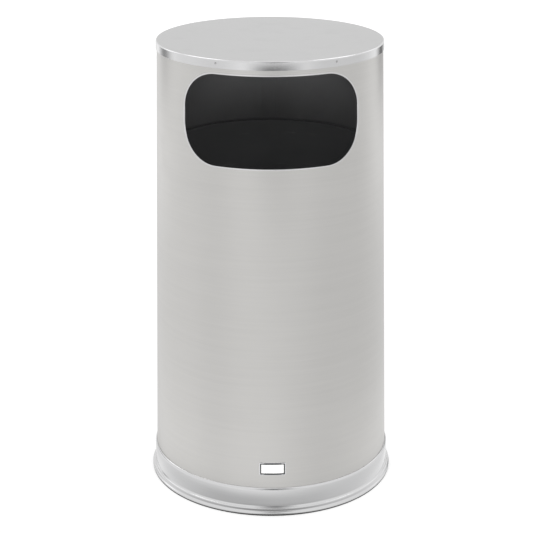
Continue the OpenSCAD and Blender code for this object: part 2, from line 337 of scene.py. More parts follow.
class Value:
    """A number in a node tree, on which Python's operators add Math nodes."""

    def __init__(self, paint, socket):
        self.paint = paint
        self.socket = socket

    def _with(self, operation, *values):
        """Adds a Math node."""
        return self.paint.add("ShaderNodeMath", {"operation": operation}, *values)

    def __add__(self, other):
        return self._with("ADD", self, other)

    def __sub__(self, other):
        return self._with("SUBTRACT", self, other)

    def __rsub__(self, other):
        return self._with("SUBTRACT", other, self)

    def __rtruediv__(self, other):
        return self._with("DIVIDE", other, self)

    def __mul__(self, other):
        return self._with("MULTIPLY", self, other)

    def __truediv__(self, other):
        return self._with("DIVIDE", self, other)

    def __pow__(self, other):
        return self._with("POWER", self, other)

    def size(self):
        """The number without its sign."""
        return self._with("ABSOLUTE", self)

    def eased(self, start, end):
        """0 below start, 1 above end, and a smooth step between."""
        step = {"interpolation_type": "SMOOTHSTEP"}
        return self.paint.add("ShaderNodeMapRange", step, self, start, end, 0.0, 1.0)

    __radd__ = __add__
    __rmul__ = __mul__


class Paint:
    """A material or world under construction."""

    def __init__(self, name, kind="materials"):
        self.made = getattr(bpy.data, kind).new(name)
        self.made.use_nodes = True
        self.tree = self.made.node_tree
        self.tree.nodes.clear()

    def node(self, kind, settings, *values, **named):
        """Adds a node. values go to its sockets in order, and named ones to sockets by name."""
        made = self.tree.nodes.new(kind)
        for key, setting in (settings or {}).items():
            setattr(made, key, setting)
        by_name = [(made.inputs[key.replace("_", " ")], value) for key, value in named.items()]
        for socket, value in [*zip(made.inputs, values), *by_name]:
            if isinstance(value, Value):
                self.tree.links.new(value.socket, socket)
            elif value is not None:
                socket.default_value = value
        return made

    def add(self, kind, settings, *values, **named):
        """Adds a node and gives its first output."""
        return Value(self, self.node(kind, settings, *values, **named).outputs[0])

    def noise(self, vector, scale, detail=2.0, roughness=0.5):
        """A cloudy pattern from 0 to 1."""
        return self.add("ShaderNodeTexNoise", {"noise_dimensions": "3D"}, Vector=vector, Scale=scale,
                        Detail=detail, Roughness=roughness)

    def place(self):
        """Object coordinates as a vector and as three numbers."""
        where = Value(self, self.node("ShaderNodeTexCoord", None).outputs["Object"])
        split = self.node("ShaderNodeSeparateXYZ", None, where)
        return where, *[Value(self, out) for out in split.outputs]

    def vector(self, x, y, z):
        """Three numbers as a vector."""
        return self.add("ShaderNodeCombineXYZ", None, x, y, z)

    def blend(self, factor, low, high):
        """A colour between two others."""
        made = self.node("ShaderNodeMix", {"data_type": "RGBA"})
        # For colours, this node takes sockets 0, 6 and 7 and gives output 2
        for index, value in ((0, factor), (6, low), (7, high)):
            if isinstance(value, Value):
                self.tree.links.new(value.socket, made.inputs[index])
            else:
                made.inputs[index].default_value = value
        return Value(self, made.outputs[2])

    def bump(self, height, distance, normal=None):
        """A normal tilted by a pattern that is this deep in metres."""
        return self.add("ShaderNodeBump", None, Strength=1.0, Distance=distance, Height=height, Normal=normal)

    def finish(self, colour, roughness, normal, metallic=0.0):
        """The material of a surface with this colour, roughness and normal."""
        return self.surface(self.add("ShaderNodeBsdfPrincipled", None, Base_Color=colour, Metallic=metallic,
                                     Roughness=roughness, Normal=normal))

    def surface(self, shader, output="ShaderNodeOutputMaterial"):
        """The material or world of a shader."""
        self.node(output, None, Surface=shader)
        return self.made


def rgba(colour, gain=1.0):
    """A colour for a socket, made lighter or darker by a factor."""
    return (*[min(1.0, c * gain) for c in colour], 1.0)


def round_place(paint):
    """Object coordinates as the distance round the bin, the distance from its axis, and the height."""
    where, x, y, z = paint.place()
    angle = paint.add("ShaderNodeMath", {"operation": "ARCTAN2"}, x, 0 - y)
    out = (x * x + y * y) ** 0.5
    return where, angle * sizes().body_r, out, z


# Finishes

def brushed(name, colour, way, depth=0.006 * MM, rough=0.34):
    """Satin steel with fine grain. way gives the place along and across the grain."""
    paint = Paint(name)
    where, run, width = way(paint)
    grain = paint.noise(paint.vector(run * 9, width * 1500, 0), 1.0, 3.0, 0.6)
    streak = paint.noise(paint.vector(run * 3.5, width * 160, 4.0), 1.0, 3.0, 0.65)
    cloud = paint.noise(where, 5.0, 3.0, 0.55)
    smudge = paint.noise(where, 22.0, 4.0, 0.6).eased(0.5, 0.75)
    shade = grain * 0.35 + streak * 0.45 + cloud * 0.2
    base = paint.blend(shade.eased(0.25, 0.75), rgba(colour, 0.965), rgba(colour, 1.035))
    roughness = rough - 0.05 + grain * 0.06 + streak * 0.05 + smudge * 0.04
    normal = paint.bump(grain * 0.7 + streak * 0.3, depth)
    return paint.finish(base, roughness, normal, metallic=1.0)


def around_grain(paint):
    """Grain that runs level round the bin."""
    where, run, _, z = round_place(paint)
    return where, run, z


def level_grain(paint):
    """Grain that runs straight across the lid, from side to side."""
    where, x, y, _ = paint.place()
    return where, x, y


def upright_grain(paint):
    """Grain that runs up the body."""
    where, run, _, z = round_place(paint)
    return where, z, run


def bright(name, colour, rough=0.1):
    """Polished steel: nearly a mirror, with faint polishing lines and slow waves."""
    paint = Paint(name)
    where, run, _, z = round_place(paint)
    lines = paint.noise(paint.vector(run * 6, z * 1100, 2.0), 1.0, 3.0, 0.6)
    wave = paint.noise(paint.vector(run * 7, z * 14, 1.0), 1.0, 1.0, 0.5)
    haze = paint.noise(where, 30.0, 4.0, 0.6).eased(0.45, 0.8)
    base = paint.blend(lines, rgba(colour, 0.96), rgba(colour, 1.03))
    roughness = rough + lines * 0.035 + haze * 0.05
    normal = paint.bump(lines, 0.0012 * MM, paint.bump(wave, 0.12 * MM))
    return paint.finish(base, roughness, normal, metallic=1.0)


def mill(name, colour):
    """Plain unpolished steel as rolled, on the lid's underside; in the lid's dimples its darker colour is
    painted shade.
    """
    paint = Paint(name)
    where, x, y, _ = paint.place()
    roll = paint.noise(paint.vector(x * 5, y * 420, 0), 1.0, 3.0, 0.6)
    cloud = paint.noise(where, 9.0, 4.0, 0.6)
    base = paint.blend(roll * 0.5 + cloud * 0.5, rgba(colour, 0.82), rgba(colour, 0.98))
    return paint.finish(base, 0.36 + roll * 0.1 + cloud * 0.08, paint.bump(cloud, 0.05 * MM), metallic=1.0)


def painted(name, colour, rough=0.5, worn=2.2):
    """Sprayed paint with an orange-peel surface and dusty scuffs. worn is a scuff's brightness."""
    paint = Paint(name)
    where, x, y, z = paint.place()
    peel = paint.noise(where, 900.0, 2.0, 0.5)
    slow = paint.noise(where, 14.0, 4.0, 0.6)
    scuff = paint.noise(paint.vector(x * 60, y * 60, z * 9), 1.0, 5.0, 0.7).eased(0.62, 0.8)
    base = paint.blend(scuff * 0.5 + slow * 0.25, rgba(colour, 0.9), rgba(colour, worn))
    return paint.finish(base, rough - 0.08 + slow * 0.16 + scuff * 0.12, paint.bump(peel, 0.03 * MM))


def moulded(name, colour):
    """Black moulded plastic: fine spark grain, flow marks and pale rub marks."""
    paint = Paint(name)
    where, run, out, z = round_place(paint)
    grain = paint.noise(where, 1400.0, 2.0, 0.6)
    flow = paint.noise(paint.vector(run * 4, out * 4, z * 26), 1.0, 3.0, 0.6)
    rub = paint.noise(paint.vector(run * 11, out * 30, z * 90), 1.0, 5.0, 0.7).eased(0.6, 0.78)
    pale = [c * 2.4 + 0.004 for c in colour]
    base = paint.blend(rub * 0.45 + flow * 0.2, rgba(colour, 0.92), rgba(pale))
    return paint.finish(base, 0.42 + flow * 0.12 + rub * 0.1, paint.bump(grain, 0.05 * MM))


def soft_black(name, colour):
    """Matt vinyl of the floor ring, with floor dust."""
    paint = Paint(name)
    where = paint.place()[0]
    grain = paint.noise(where, 1100.0, 3.0, 0.6)
    dust = paint.noise(where, 45.0, 5.0, 0.7).eased(0.5, 0.75)
    dusty = [c * 2.5 + 0.02 for c in colour]
    base = paint.blend(dust * 0.6, rgba(colour), rgba(dusty))
    return paint.finish(base, 0.62 + dust * 0.2, paint.bump(grain, 0.04 * MM))


def finishes(*names):
    """The materials of these names. The first call makes them all."""
    if bpy.data.materials.get("finish_body") is None:
        c = colours()
        brushed("finish_body", c.body_steel, around_grain)
        brushed("finish_lid", c.lid_steel, level_grain, rough=0.3)
        brushed("finish_plate_rim", c.plate_metal, upright_grain, 0.0036 * MM, 0.26)
        bright("finish_bright", c.bright_steel)
        mill("finish_mill", c.lid_steel)
        painted("finish_paint", c.paint)
        painted("finish_edge", c.plate_edge, 0.25)
        painted("finish_enamel", c.enamel, 0.25, 0.97)
        moulded("finish_liner", c.plastic)
        soft_black("finish_ring", c.rubber)
    return [bpy.data.materials["finish_" + name] for name in names]


# Sizes worked out from the frame

def opening_shape():
    """Half height, height of the middle, and the direction where the corners begin."""
    s = sizes()
    middle = (EDGING_LOW.z + EDGING_HIGH.z) / 2
    half = (EDGING_HIGH.z - EDGING_LOW.z) / 2 - s.edging_w
    half_angle = s.opening_w / 2 / s.body_r
    return half, middle, half_angle - math.asin(s.opening_r / s.body_r)


def opening_corner(grow, share):
    """Distance round the body and height above the opening's middle, from the corner's start to its side."""
    s = sizes()
    half, _, corner = opening_shape()
    r = s.opening_r + grow
    turn = corner + math.asin(r * math.sin(share * math.pi / 2) / s.body_r)
    return turn * s.body_r, half - s.opening_r + r * math.cos(share * math.pi / 2)


def opening_loop(grow):
    """The opening's outline in the flat sheet, grown all round."""
    _, middle, corner = opening_shape()
    top = opening_corner(grow, 0)[1]
    straight = corner * sizes().body_r
    across = [(x, top) for x in np.linspace(-straight, straight, MIDDLE_STEPS + 1)[1:-1]]
    right = [opening_corner(grow, i / CORNER_STEPS) for i in range(CORNER_STEPS + 1)]
    upper = [(-x, y) for x, y in right[::-1]] + across + right
    lower = [(x, -y) for x, y in upper[::-1]]
    return [(x, middle + y) for x, y in upper + lower]


# Pieces

def body_sheet():
    """The rolled sheet, laid out flat in columns whose lines bend round the opening."""
    s = sizes()
    grow = s.edging_t + FIT
    _, middle, corner = opening_shape()
    straight = corner * s.body_r
    corners = [opening_corner(grow, i / CORNER_STEPS) for i in range(CORNER_STEPS + 1)]
    front = [(x, corners[0][1]) for x in np.linspace(0, straight, MIDDLE_STEPS // 2 + 1)[:-1]] + corners
    edge = math.pi * s.body_r - s.seam_gap / 2
    back = [(x, corners[-1][1]) for x in np.linspace(corners[-1][0], edge, SPIN_STEPS * 3 // 8)[1:]]
    right = front + back
    columns = [(-x, y) for x, y in right[:0:-1]] + right
    side = len(right) - 1
    reach = len(front) - 1
    bm = bmesh.new()
    bmesh.ops.create_grid(bm, x_segments=len(columns) - 1, y_segments=3, size=0.5)
    for v in bm.verts:
        column = round((v.co.x + 0.5) * (len(columns) - 1))
        row = round((v.co.y + 0.5) * 3)
        x, half = columns[column]
        v.co = (x, (SHELL_LOW.z, middle - half, middle + half, SHELL_HIGH.z)[row], 0)
    limit = columns[side + reach][0]
    hole = [f for f in bm.faces if abs(f.calc_center_median().x) < limit
            and all(abs(v.co.y - middle) < corners[0][1] + MM / 10 for v in f.verts)]
    bmesh.ops.delete(bm, geom=hole, context="FACES")
    extruded(bm, bm.faces[:], (0, 0, -s.shell_t))
    rolled(bm, s.body_r)
    inside = s.body_r - s.shell_t / 2
    return piece("body_sheet", bm, CAN, ["body_shell"], finishes("body", "paint"),
                 lambda f: int(max(v.co.xy.length for v in f.verts) < inside))


def opening_bead():
    """The thin bright edging, laid out flat, rounded and rolled."""
    s = sizes()
    thickness = s.shell_t + 2 * s.edging_t
    round_w = 0.42 * MM
    bm = ring_between(opening_loop(0), opening_loop(s.edging_w), thickness)
    bmesh.ops.translate(bm, verts=bm.verts, vec=(0, 0, s.edging_t - thickness))
    softened(bm, sharp_edges(bm), round_w, 3)
    rolled(bm, s.body_r)
    return piece("opening_bead", bm, CAN, ["opening_edging"], finishes("bright"))


def seam_backing():
    """The strip that backs the seam inside."""
    s = sizes()
    w = STRIP_HIGH.x - STRIP_LOW.x
    thickness = s.shell_t
    bm = bmesh.new()
    bmesh.ops.create_grid(bm, x_segments=12, y_segments=1, size=0.5)
    height = STRIP_HIGH.z - STRIP_LOW.z
    bmesh.ops.scale(bm, vec=(w, height, 1), verts=bm.verts)
    extruded(bm, bm.faces[:], (0, 0, -thickness))
    softened(bm, sharp_edges(bm), 0.2 * MM)
    end = 1 * MM
    braced(bm, Vector((0, 1, 0)), (end - height / 2, height / 2 - end))
    inner = s.body_r - s.shell_t - FIT
    bmesh.ops.translate(bm, verts=bm.verts, vec=(math.pi * inner, (STRIP_LOW.z + STRIP_HIGH.z) / 2, 0))
    rolled(bm, inner)
    return piece("seam_backing", bm, CAN, ["seam_strip"], finishes("paint"))


def mouth_roll():
    """The rolled ring inside the mouth, on which the lid rests."""
    thickness, width, lip = 1.2 * MM, 8 * MM, 5 * MM
    bend = thickness + 0.6 * MM
    ro, top = RING_HIGH.y, RING_HIGH.z
    ri = ro - width
    path = [(ri, top - lip)] + arc(ri + bend, top - bend, bend, 180, 90)
    path += arc(ro - bend, top - bend, bend, 90, 0) + [(ro, RING_LOW.z)]
    return piece("mouth_roll", spun(folded(path, thickness)), CAN, ["mouth_ring"],
                 finishes("paint"))


def base_trim():
    """The polished band with its bevelled top, waist and flared foot."""
    s = sizes()
    foot_ro = BAND_HIGH.y
    sole = BAND_LOW.z
    band_h = 41.5 * MM
    band_ro = s.body_r + 2.7 * MM
    waist = band_ro - 0.8 * MM
    lip = 4.3 * MM
    lip_mid = band_ro - lip
    lip_end = math.degrees(math.acos((s.body_r + FIT - lip_mid) / (lip - s.band_t)))
    waist_high, waist_low = 20 * MM, 13.2 * MM
    ledge, ledge_z = 2 * MM, 9 * MM
    ledge_ro = foot_ro - 2.6 * MM
    cove, cove_z = 3.2 * MM, 7 * MM
    curl = 1.7 * MM
    path = arc(lip_mid, band_h - lip, lip, lip_end, 0, 12)
    path += [(waist, waist_high), (waist, waist_low)]
    path += arc(ledge_ro - ledge, ledge_z, ledge, 70, 0)
    path += arc(ledge_ro + cove, cove_z, cove, 180, 238)
    path += arc(foot_ro - curl, sole + curl, curl, 40, -90, 12)
    path += [(foot_ro - FLANGE_W, sole)]
    return piece("base_trim", spun(folded(path, s.band_t)), CAN, ["base_band"],
                 finishes("bright"))


def pan_pressing():
    """The base pan, with its bead and the step that centres the liner."""
    thickness = 1 * MM
    bend = thickness + 1.4 * MM
    ro = PAN_HIGH.y
    top = PAN_HIGH.z
    floor = top - 5 * MM
    bead_mid, bead_half, bead_h = 82 * MM, 10 * MM, 3 * MM
    step, slope = 170 * MM, 2.5 * MM
    turns = np.linspace(0, math.pi, 13)
    bead = [(bead_mid - bead_half * math.cos(a), floor + bead_h * math.sin(a)) for a in turns]
    path = [(0, floor)] + bead + [(step, floor), (step + slope, top)]
    path += arc(ro - bend, top - bend, bend, 90, 0, 8) + [(ro, PAN_LOW.z)]
    return piece("pan_pressing", spun(folded(path, thickness)), CAN, ["base_pan"],
                 finishes("paint"))


def pan_rivets():
    """Domed rivets through the pan's flange."""
    s = sizes()
    middle = (RIVETS_LOW.z + RIVETS_HIGH.z) / 2
    shank, head = 1.6 * MM, 3.2 * MM
    inner, tail, tail_h = s.body_r - 3.7 * MM, 1 * MM, 1.6 * MM
    seat = s.body_r + FIT / 2
    profile = [(0, inner)] + arc(shank, inner + tail, tail, -90, 0, 5)
    profile += [(shank + tail, inner + tail_h), (shank, inner + tail_h), (shank, seat), (head, seat)]
    profile += [(head, s.body_r + 0.4 * MM), (shank, s.body_r + 0.68 * MM), (0, s.body_r + 0.7 * MM)]
    on_side = Matrix.Rotation(math.pi / 2, 4, "Y")
    bm = bmesh.new()
    for i in range(s.rivet_count):
        one = spun(profile, 24)
        turn = Matrix.Rotation((i + 0.5) * math.tau / s.rivet_count, 4, "Z")
        place = Matrix.Translation((0, 0, middle)) @ turn @ on_side
        bmesh.ops.transform(one, matrix=place, verts=one.verts)
        add_mesh(bm, one)
    return piece("pan_rivets", bm, CAN, ["base_rivets"], finishes("mill"))


def floor_guard():
    """The soft ring that hooks over the band's inturned flange."""
    s = sizes()
    foot_ro = BAND_HIGH.y
    sole = BAND_LOW.z - FIT / 2
    flange_ri = foot_ro - FLANGE_W
    hook_ri = flange_ri - 1.3 * MM
    hook_z = BAND_LOW.z + s.band_t + FIT
    hook_w, hook_top_w = 3 * MM, 2.4 * MM
    ro = foot_ro - 0.4 * MM
    chamfer = 0.3 * MM
    outline = [(hook_ri, chamfer), (hook_ri + chamfer, 0), (ro - chamfer, 0), (ro, chamfer), (ro, sole),
               (flange_ri - FIT, sole), (flange_ri - FIT, hook_z), (hook_ri + hook_w, hook_z),
               (hook_ri + hook_top_w, GUARD_TOP), (hook_ri + chamfer, GUARD_TOP),
               (hook_ri, GUARD_TOP - chamfer)]
    return piece("floor_guard", spun(outline), CAN, ["floor_ring"], finishes("ring"))


def dimple_cutters(height, deep):
    """Balls that press the grip dimples into the lid's skirt."""
    s = sizes()
    ball = (s.dimple_d ** 2 / 4 + deep ** 2) / (2 * deep)
    out = LID_HIGH.y - deep + ball
    balls = bmesh.new()
    for i in range(s.dimple_count):
        turn = -math.pi / 2 + s.lid_turn + (i + 0.5) * math.tau / s.dimple_count
        place = Matrix.Translation((out * math.cos(turn), out * math.sin(turn), height))
        bmesh.ops.create_uvsphere(balls, u_segments=48, v_segments=32, radius=ball, matrix=place)
    return balls


def lid_pressing():
    """The drawn lid with its dimples: satin on top, bright round the edge and skirt."""
    s = sizes()
    ro, top = LID_HIGH.y, LID_HIGH.z
    r = s.lid_edge_r
    path = [(0, top), (ro / 2, top), (ro - 12 * MM, top)] + arc(ro - r, top - r, r, 90, 0, 12)
    path += [(ro, LID_LOW.z + 0.2 * MM)]
    deep = 0.5 * MM
    z = top - (top - LID_LOW.z) / 2 + 1 * MM
    bm = cut(spun(folded(path, s.lid_t)), dimple_cutters(z, deep))
    flat = top - r * 0.35

    def finish_of(f):
        centre = f.calc_center_median()
        if f.normal.z > 0.9 and centre.z > flat:
            return 0
        # The dimples take the darker plain finish as painted shade in the hollows
        in_dimple = abs(centre.z - z) < s.dimple_d / 2 and 0.02 * MM < ro - centre.xy.length < 1.2 * deep
        return 2 if in_dimple or centre.z < top - s.lid_t / 2 and f.normal.z < -0.9 else 1

    return piece("lid_pressing", bm, LID, ["lid_cap"], finishes("lid", "bright", "mill"),
                 finish_of, math.radians(20))


def lid_stiffener():
    """The folded channel under the lid."""
    s = sizes()
    half, flange, bend = 17 * MM, 12 * MM, 3 * MM
    reach, end = 150 * MM, 1 * MM
    top, low = CHANNEL_HIGH.z, CHANNEL_LOW.z + s.lid_t
    path = [(-half - flange, top), (-half, top), (-half + bend, low), (half - bend, low), (half, top),
            (half + flange, top)]
    outline = path + moved(path, s.lid_t)[::-1]
    bm = bmesh.new()
    face = bm.faces.new([bm.verts.new((-reach, y, z)) for y, z in outline])
    extruded(bm, [face], (2 * reach, 0, 0))
    softened(bm, sharp_edges(bm), 0.25 * MM)
    braced(bm, Vector((1, 0, 0)), (end - reach, reach - end))
    bmesh.ops.rotate(bm, verts=bm.verts, matrix=Matrix.Rotation(s.lid_turn, 3, "Z"))
    return piece("lid_stiffener", bm, LID, ["lid_channel"], finishes("paint"))


def liner_wall(z):
    """Outside radius of the liner's tapered wall at a height."""
    share = (z - LINER_LOW.z) / (LINER_HIGH.z - LINER_LOW.z)
    return LINER_FOOT_R + (LINER_RIM_R - LINER_FOOT_R) * share


def liner_outline():
    """The tub in section: out along its stepped floor, up, over the rolled rim and down again inside."""
    t = sizes().liner_t
    z0, top = LINER_LOW.z, LINER_HIGH.z
    rim_ro, rim_r, foot_r = LINER_HIGH.y, LINER_RIM_R, LINER_FOOT_R
    roll, heel, corner = 4 * MM, 7 * MM, 1.5 * MM
    heel_in = heel - 2 * MM
    base = z0 + 6 * MM
    edge = foot_r - 14 * MM
    outer = [(0, base), (edge - 3 * MM, base)] + arc(edge + 4 * MM, z0 + corner, corner, 180, 270, 4)
    outer += arc(foot_r - heel, z0 + heel, heel, -90, 0, 8)
    outer += arc(rim_r + corner, top - t - corner, corner, 180, 90, 4)
    outer += arc(rim_ro - t - corner, top - t - corner, corner, 90, 0, 4)
    outer += [(rim_ro - t, top - RIM_H + 0.5 * MM)]
    outer += arc(rim_ro - t / 2, top - RIM_H + t / 2, t / 2, 180, 360, 8)
    outer += arc(rim_ro - roll, top - roll, roll, 0, 90, 8)
    outer += arc(rim_r - t + roll, top - roll, roll, 90, 180, 8)
    outer += arc(foot_r - t - heel_in, z0 + t + heel_in, heel_in, 0, -90, 8)
    return outer + [(edge + 6 * MM, z0 + t), (edge - 1 * MM, base + t), (0, base + t)]


def hold_cutters():
    """Two slot-shaped bars that cut the hand holds through the liner's wall."""
    deep = 15 * MM
    inside = liner_wall(HOLD_Z) - deep
    cutters = bmesh.new()
    for side in (-1, 1):
        loop = [(side * inside, x, HOLD_Z + y) for x, y in slot_loop(HOLD_W, HOLD_H)]
        face = cutters.faces.new([cutters.verts.new(point) for point in loop])
        extruded(cutters, [face], (side * 2 * deep, 0, 0))
    return cutters


def hold_border(side):
    """The raised border round one hand hold, laid out flat and rolled on to the tapered wall."""
    steps, sunk, proud = 24, 0.6 * MM, 2 * MM
    inner = slot_loop(HOLD_W, HOLD_H, steps)
    wide = slot_loop(HOLD_W + 2 * HOLD_BORDER, HOLD_H + 2 * HOLD_BORDER, steps)
    border = ring_between(inner, wide, proud + sunk)
    softened(border, sharp_edges(border), 0.8 * MM, 3)
    turn = side * math.pi / 2 * liner_wall(HOLD_Z)
    bmesh.ops.translate(border, verts=border.verts, vec=(0, HOLD_Z, -sunk))
    for v in border.verts:
        v.co.x = (v.co.x + turn) * liner_wall(v.co.y) / liner_wall(HOLD_Z)
    return rolled(border, liner_wall)


def add_gussets(bm):
    """Adds the gussets between the liner's wall and its rim."""
    count = sizes().gusset_count
    out, thick, high = 5.2 * MM, 1.8 * MM, 12 * MM
    shape = Matrix.Diagonal((out, thick, high, 1))
    place = Matrix.Translation((LINER_RIM_R + 2 * MM, 0, LINER_HIGH.z - RIM_H / 2))
    for i in range(count):
        turn = Matrix.Rotation((i + 0.5) * math.tau / count, 4, "Z")
        bmesh.ops.create_cube(bm, size=1, matrix=turn @ place @ shape)


def liner_moulding():
    """The moulded tub, with its rolled rim, gussets and bordered hand holds."""
    bm = cut(spun(liner_outline()), hold_cutters())
    for side in (-1, 1):
        add_mesh(bm, hold_border(side))
    add_gussets(bm)
    return piece("liner_moulding", bm, LINER, ["liner_tub"], finishes("liner"))


def blank_plate():
    """A small plate above the base band: a plain pale field with a dark edge, in a raised metal rim."""
    s = sizes()
    w, h = PLATE_HIGH.x - PLATE_LOW.x, PLATE_HIGH.z - PLATE_LOW.z
    thickness = 0.8 * MM
    corner = 2.5 * MM
    rim = s.plate_rim
    outer = rounded_loop(w, h, corner)
    inner = rounded_loop(w - 2 * rim, h - 2 * rim, corner - rim)
    bm = ring_between(inner, outer, thickness)
    softened(bm, sharp_edges(bm), 0.18 * MM)
    under = rim * 0.4
    edge_w = 1.8 * MM
    field = bmesh.new()
    bmesh.ops.create_grid(field, x_segments=16, y_segments=1, size=0.5)
    bmesh.ops.scale(field, vec=(w - 2 * (rim - under), h - 2 * (rim - under), 1), verts=field.verts)
    bmesh.ops.inset_region(field, faces=field.faces[:], thickness=under + edge_w, use_boundary=True,
                           use_even_offset=True)
    extruded(field, field.faces[:], (0, 0, thickness / 2))
    add_mesh(bm, field)
    bmesh.ops.translate(bm, verts=bm.verts, vec=(0, (PLATE_LOW.z + PLATE_HIGH.z) / 2, FIT))
    rolled(bm, s.body_r)
    sunk = s.body_r + FIT + thickness * 0.6
    half_w, half_h = w / 2 - rim, h / 2 - rim
    middle = (PLATE_LOW.z + PLATE_HIGH.z) / 2

    def finish_of(f):
        c = f.calc_center_median()
        inside = min(half_w - abs(c.x), half_h - abs(c.z - middle))
        return 0 if c.xy.length > sunk or inside < 0 else 1 if inside < edge_w else 2

    return piece("blank_plate_piece", bm, CAN, ["blank_plate"],
                 finishes("plate_rim", "edge", "enamel"), finish_of)


# Studio

def ray_kinds(paint):
    """Whether a ray comes from the camera, and whether it is a reflection."""
    rays = paint.node("ShaderNodeLightPath", None)
    return Value(paint, rays.outputs["Is Camera Ray"]), Value(paint, rays.outputs["Is Glossy Ray"])


def patch(place, middle, half):
    """1 at the middle of a stretch, easing to 0 at half its width to either side."""
    return (1 - (place - middle).size() / half).eased(0, 1)


def stage_material():
    """A floor that is white to the eye and keeps a soft shadow. In reflections only, it glows with painted
    greys of the photograph's studio: painted reflections of walls to the sides, and painted shade on the
    floor just in front of the bin. Angles are in degrees from the front, more to the right, and distances in
    metres from the bin's axis."""
    paint = Paint("studio_floor")
    camera, glossy = ray_kinds(paint)
    _, x, y, _ = paint.place()
    out = (x * x + y * y) ** 0.5
    azimuth = paint.add("ShaderNodeMath", {"operation": "ARCTAN2"}, x, 0 - y) * (180 / math.pi)
    side = azimuth.size()
    mirrored = azimuth * (1 + (sizes().body_r / out) ** 1.5)
    # Painted reflections of walls: darker right, left and behind, brighter in front and at the sides
    right = mirrored.eased(-10, 55) * 0.135 - mirrored.eased(95, 140) * 0.05
    left = patch(mirrored, -58, 30) * 0.065
    painted_rear_reflection = (0 - mirrored).eased(145, 180) * 0.15
    painted_front_reflection = patch(mirrored, 4, 55) * (out.eased(0.4, 1.8) * 0.11 + out.eased(1.7, 2.5) * 0.14)
    aside = patch(mirrored.size(), 134, 40) * out.eased(1.2, 2.2) * 0.25
    # Painted shade and painted brighter rings in the floor's reflection by the bin's foot
    low = (1 - out.eased(0.3, 0.8)) * (0.1 - azimuth.eased(-10, 30) * 0.06)
    painted_front_shade = (1 - out.eased(0.23, 0.285)) * (1 - (azimuth + 14).size().eased(0, 80)) * 0.43
    painted_contact_shadow = (1 - out.eased(0.206, 0.228)) * (0.75 - side.eased(0, 30) * 0.7 - side.eased(35, 65) * 0.15)
    beside = (1 - out.eased(0.28, 0.6)) * azimuth.eased(40, 75) * 0.1
    painted_side_shade = (1 - out.eased(0.245, 0.275)) * side.eased(30, 70) * 0.11
    painted_reflection_level = 0.94 + painted_front_reflection + aside + low - right - left - painted_rear_reflection
    mirror = painted_reflection_level * (1 - painted_front_shade) * (1 - painted_contact_shadow) * (1 + beside - painted_side_shade)
    # Reflections see only the painted glow; the eye sees white glow mixed with the lit floor
    level = glossy * mirror + (1 - glossy) * (1.1 + out.eased(0.6, 5) * 0.3)
    plain = paint.add("ShaderNodeBsdfDiffuse", None, Color=(0.92, 0.92, 0.92, 1.0))
    glow = paint.add("ShaderNodeEmission", None, Color=paint.vector(level, level, level), Strength=1.0)
    seen = camera * out.eased(0.188, 0.207) * 0.77
    return paint.surface(paint.add("ShaderNodeMixShader", None, seen + glossy, plain, glow))


def card(name, width, height, place, level):
    """An upright card with soft edges, facing the bin, that only reflections see: a painted reflection that
    lights nothing. A level of 1 is white.
    """
    paint = Paint(name)
    grey = paint.add("ShaderNodeEmission", None, Color=(level, level, level, 1.0), Strength=1.0)
    clear = paint.add("ShaderNodeBsdfTransparent", None)
    uv = paint.node("ShaderNodeUVMap", {"uv_map": "card"})
    across, up, _ = [Value(paint, out) for out in
                     paint.node("ShaderNodeSeparateXYZ", None, Value(paint, uv.outputs[0])).outputs]
    soft = patch(across, 0.5, 0.5) * (1 - (up - 0.5).size() * 2).eased(0, 0.8)
    material = paint.surface(paint.add("ShaderNodeMixShader", None, soft, clear, grey))
    bm = bmesh.new()
    bm.loops.layers.uv.new("card")
    bmesh.ops.create_grid(bm, x_segments=1, y_segments=1, size=0.5, calc_uvs=True)
    bmesh.ops.scale(bm, vec=(width, height, 1), verts=bm.verts)
    turn = Matrix.Rotation(math.atan2(place[1], place[0]) + math.pi / 2, 3, "Z")
    bmesh.ops.rotate(bm, verts=bm.verts, matrix=turn @ Matrix.Rotation(math.pi / 2, 3, "X"))
    bmesh.ops.translate(bm, verts=bm.verts, vec=place)
    mesh = bpy.data.meshes.new(name)
    bm.to_mesh(mesh)
    bm.free()
    mesh.materials.append(material)
    obj = bpy.data.objects.new(name, mesh)
    bpy.context.scene.collection.objects.link(obj)
    obj.visible_camera = False
    obj.visible_diffuse = False
    obj.visible_shadow = False
    obj.visible_transmission = False


def lamp(name, size, level, place, target, mirrored=True):
    """A round soft light. level is its brightness, where 1 is white."""
    data = bpy.data.lights.new(name, "AREA")
    data.shape = "DISK"
    data.size = size
    data.energy = level * math.pi * math.pi * size ** 2 / 4
    obj = bpy.data.objects.new(name, data)
    bpy.context.scene.collection.objects.link(obj)
    obj.location = place
    obj.rotation_mode = "QUATERNION"
    obj.rotation_quaternion = (Vector(target) - Vector(place)).to_track_quat("-Z", "Y")
    obj.visible_camera = False
    obj.visible_glossy = mirrored


def around_bin(azimuth, distance, height):
    """A place in the studio, from its direction as seen from the bin: 0 is in front, 90 to the right."""
    a = math.radians(azimuth)
    return distance * math.sin(a), -distance * math.cos(a), height


def world_light():
    """White to the eye, nearly white in reflections, and a plain level of light on the bin."""
    paint = Paint("studio", "worlds")
    camera, glossy = ray_kinds(paint)
    level = 0.55 + camera * 0.45 + glossy * 0.41
    white = paint.add("ShaderNodeBackground", None, (1.0, 1.0, 1.0, 1.0), level)
    bpy.context.scene.world = paint.surface(white, "ShaderNodeOutputWorld")


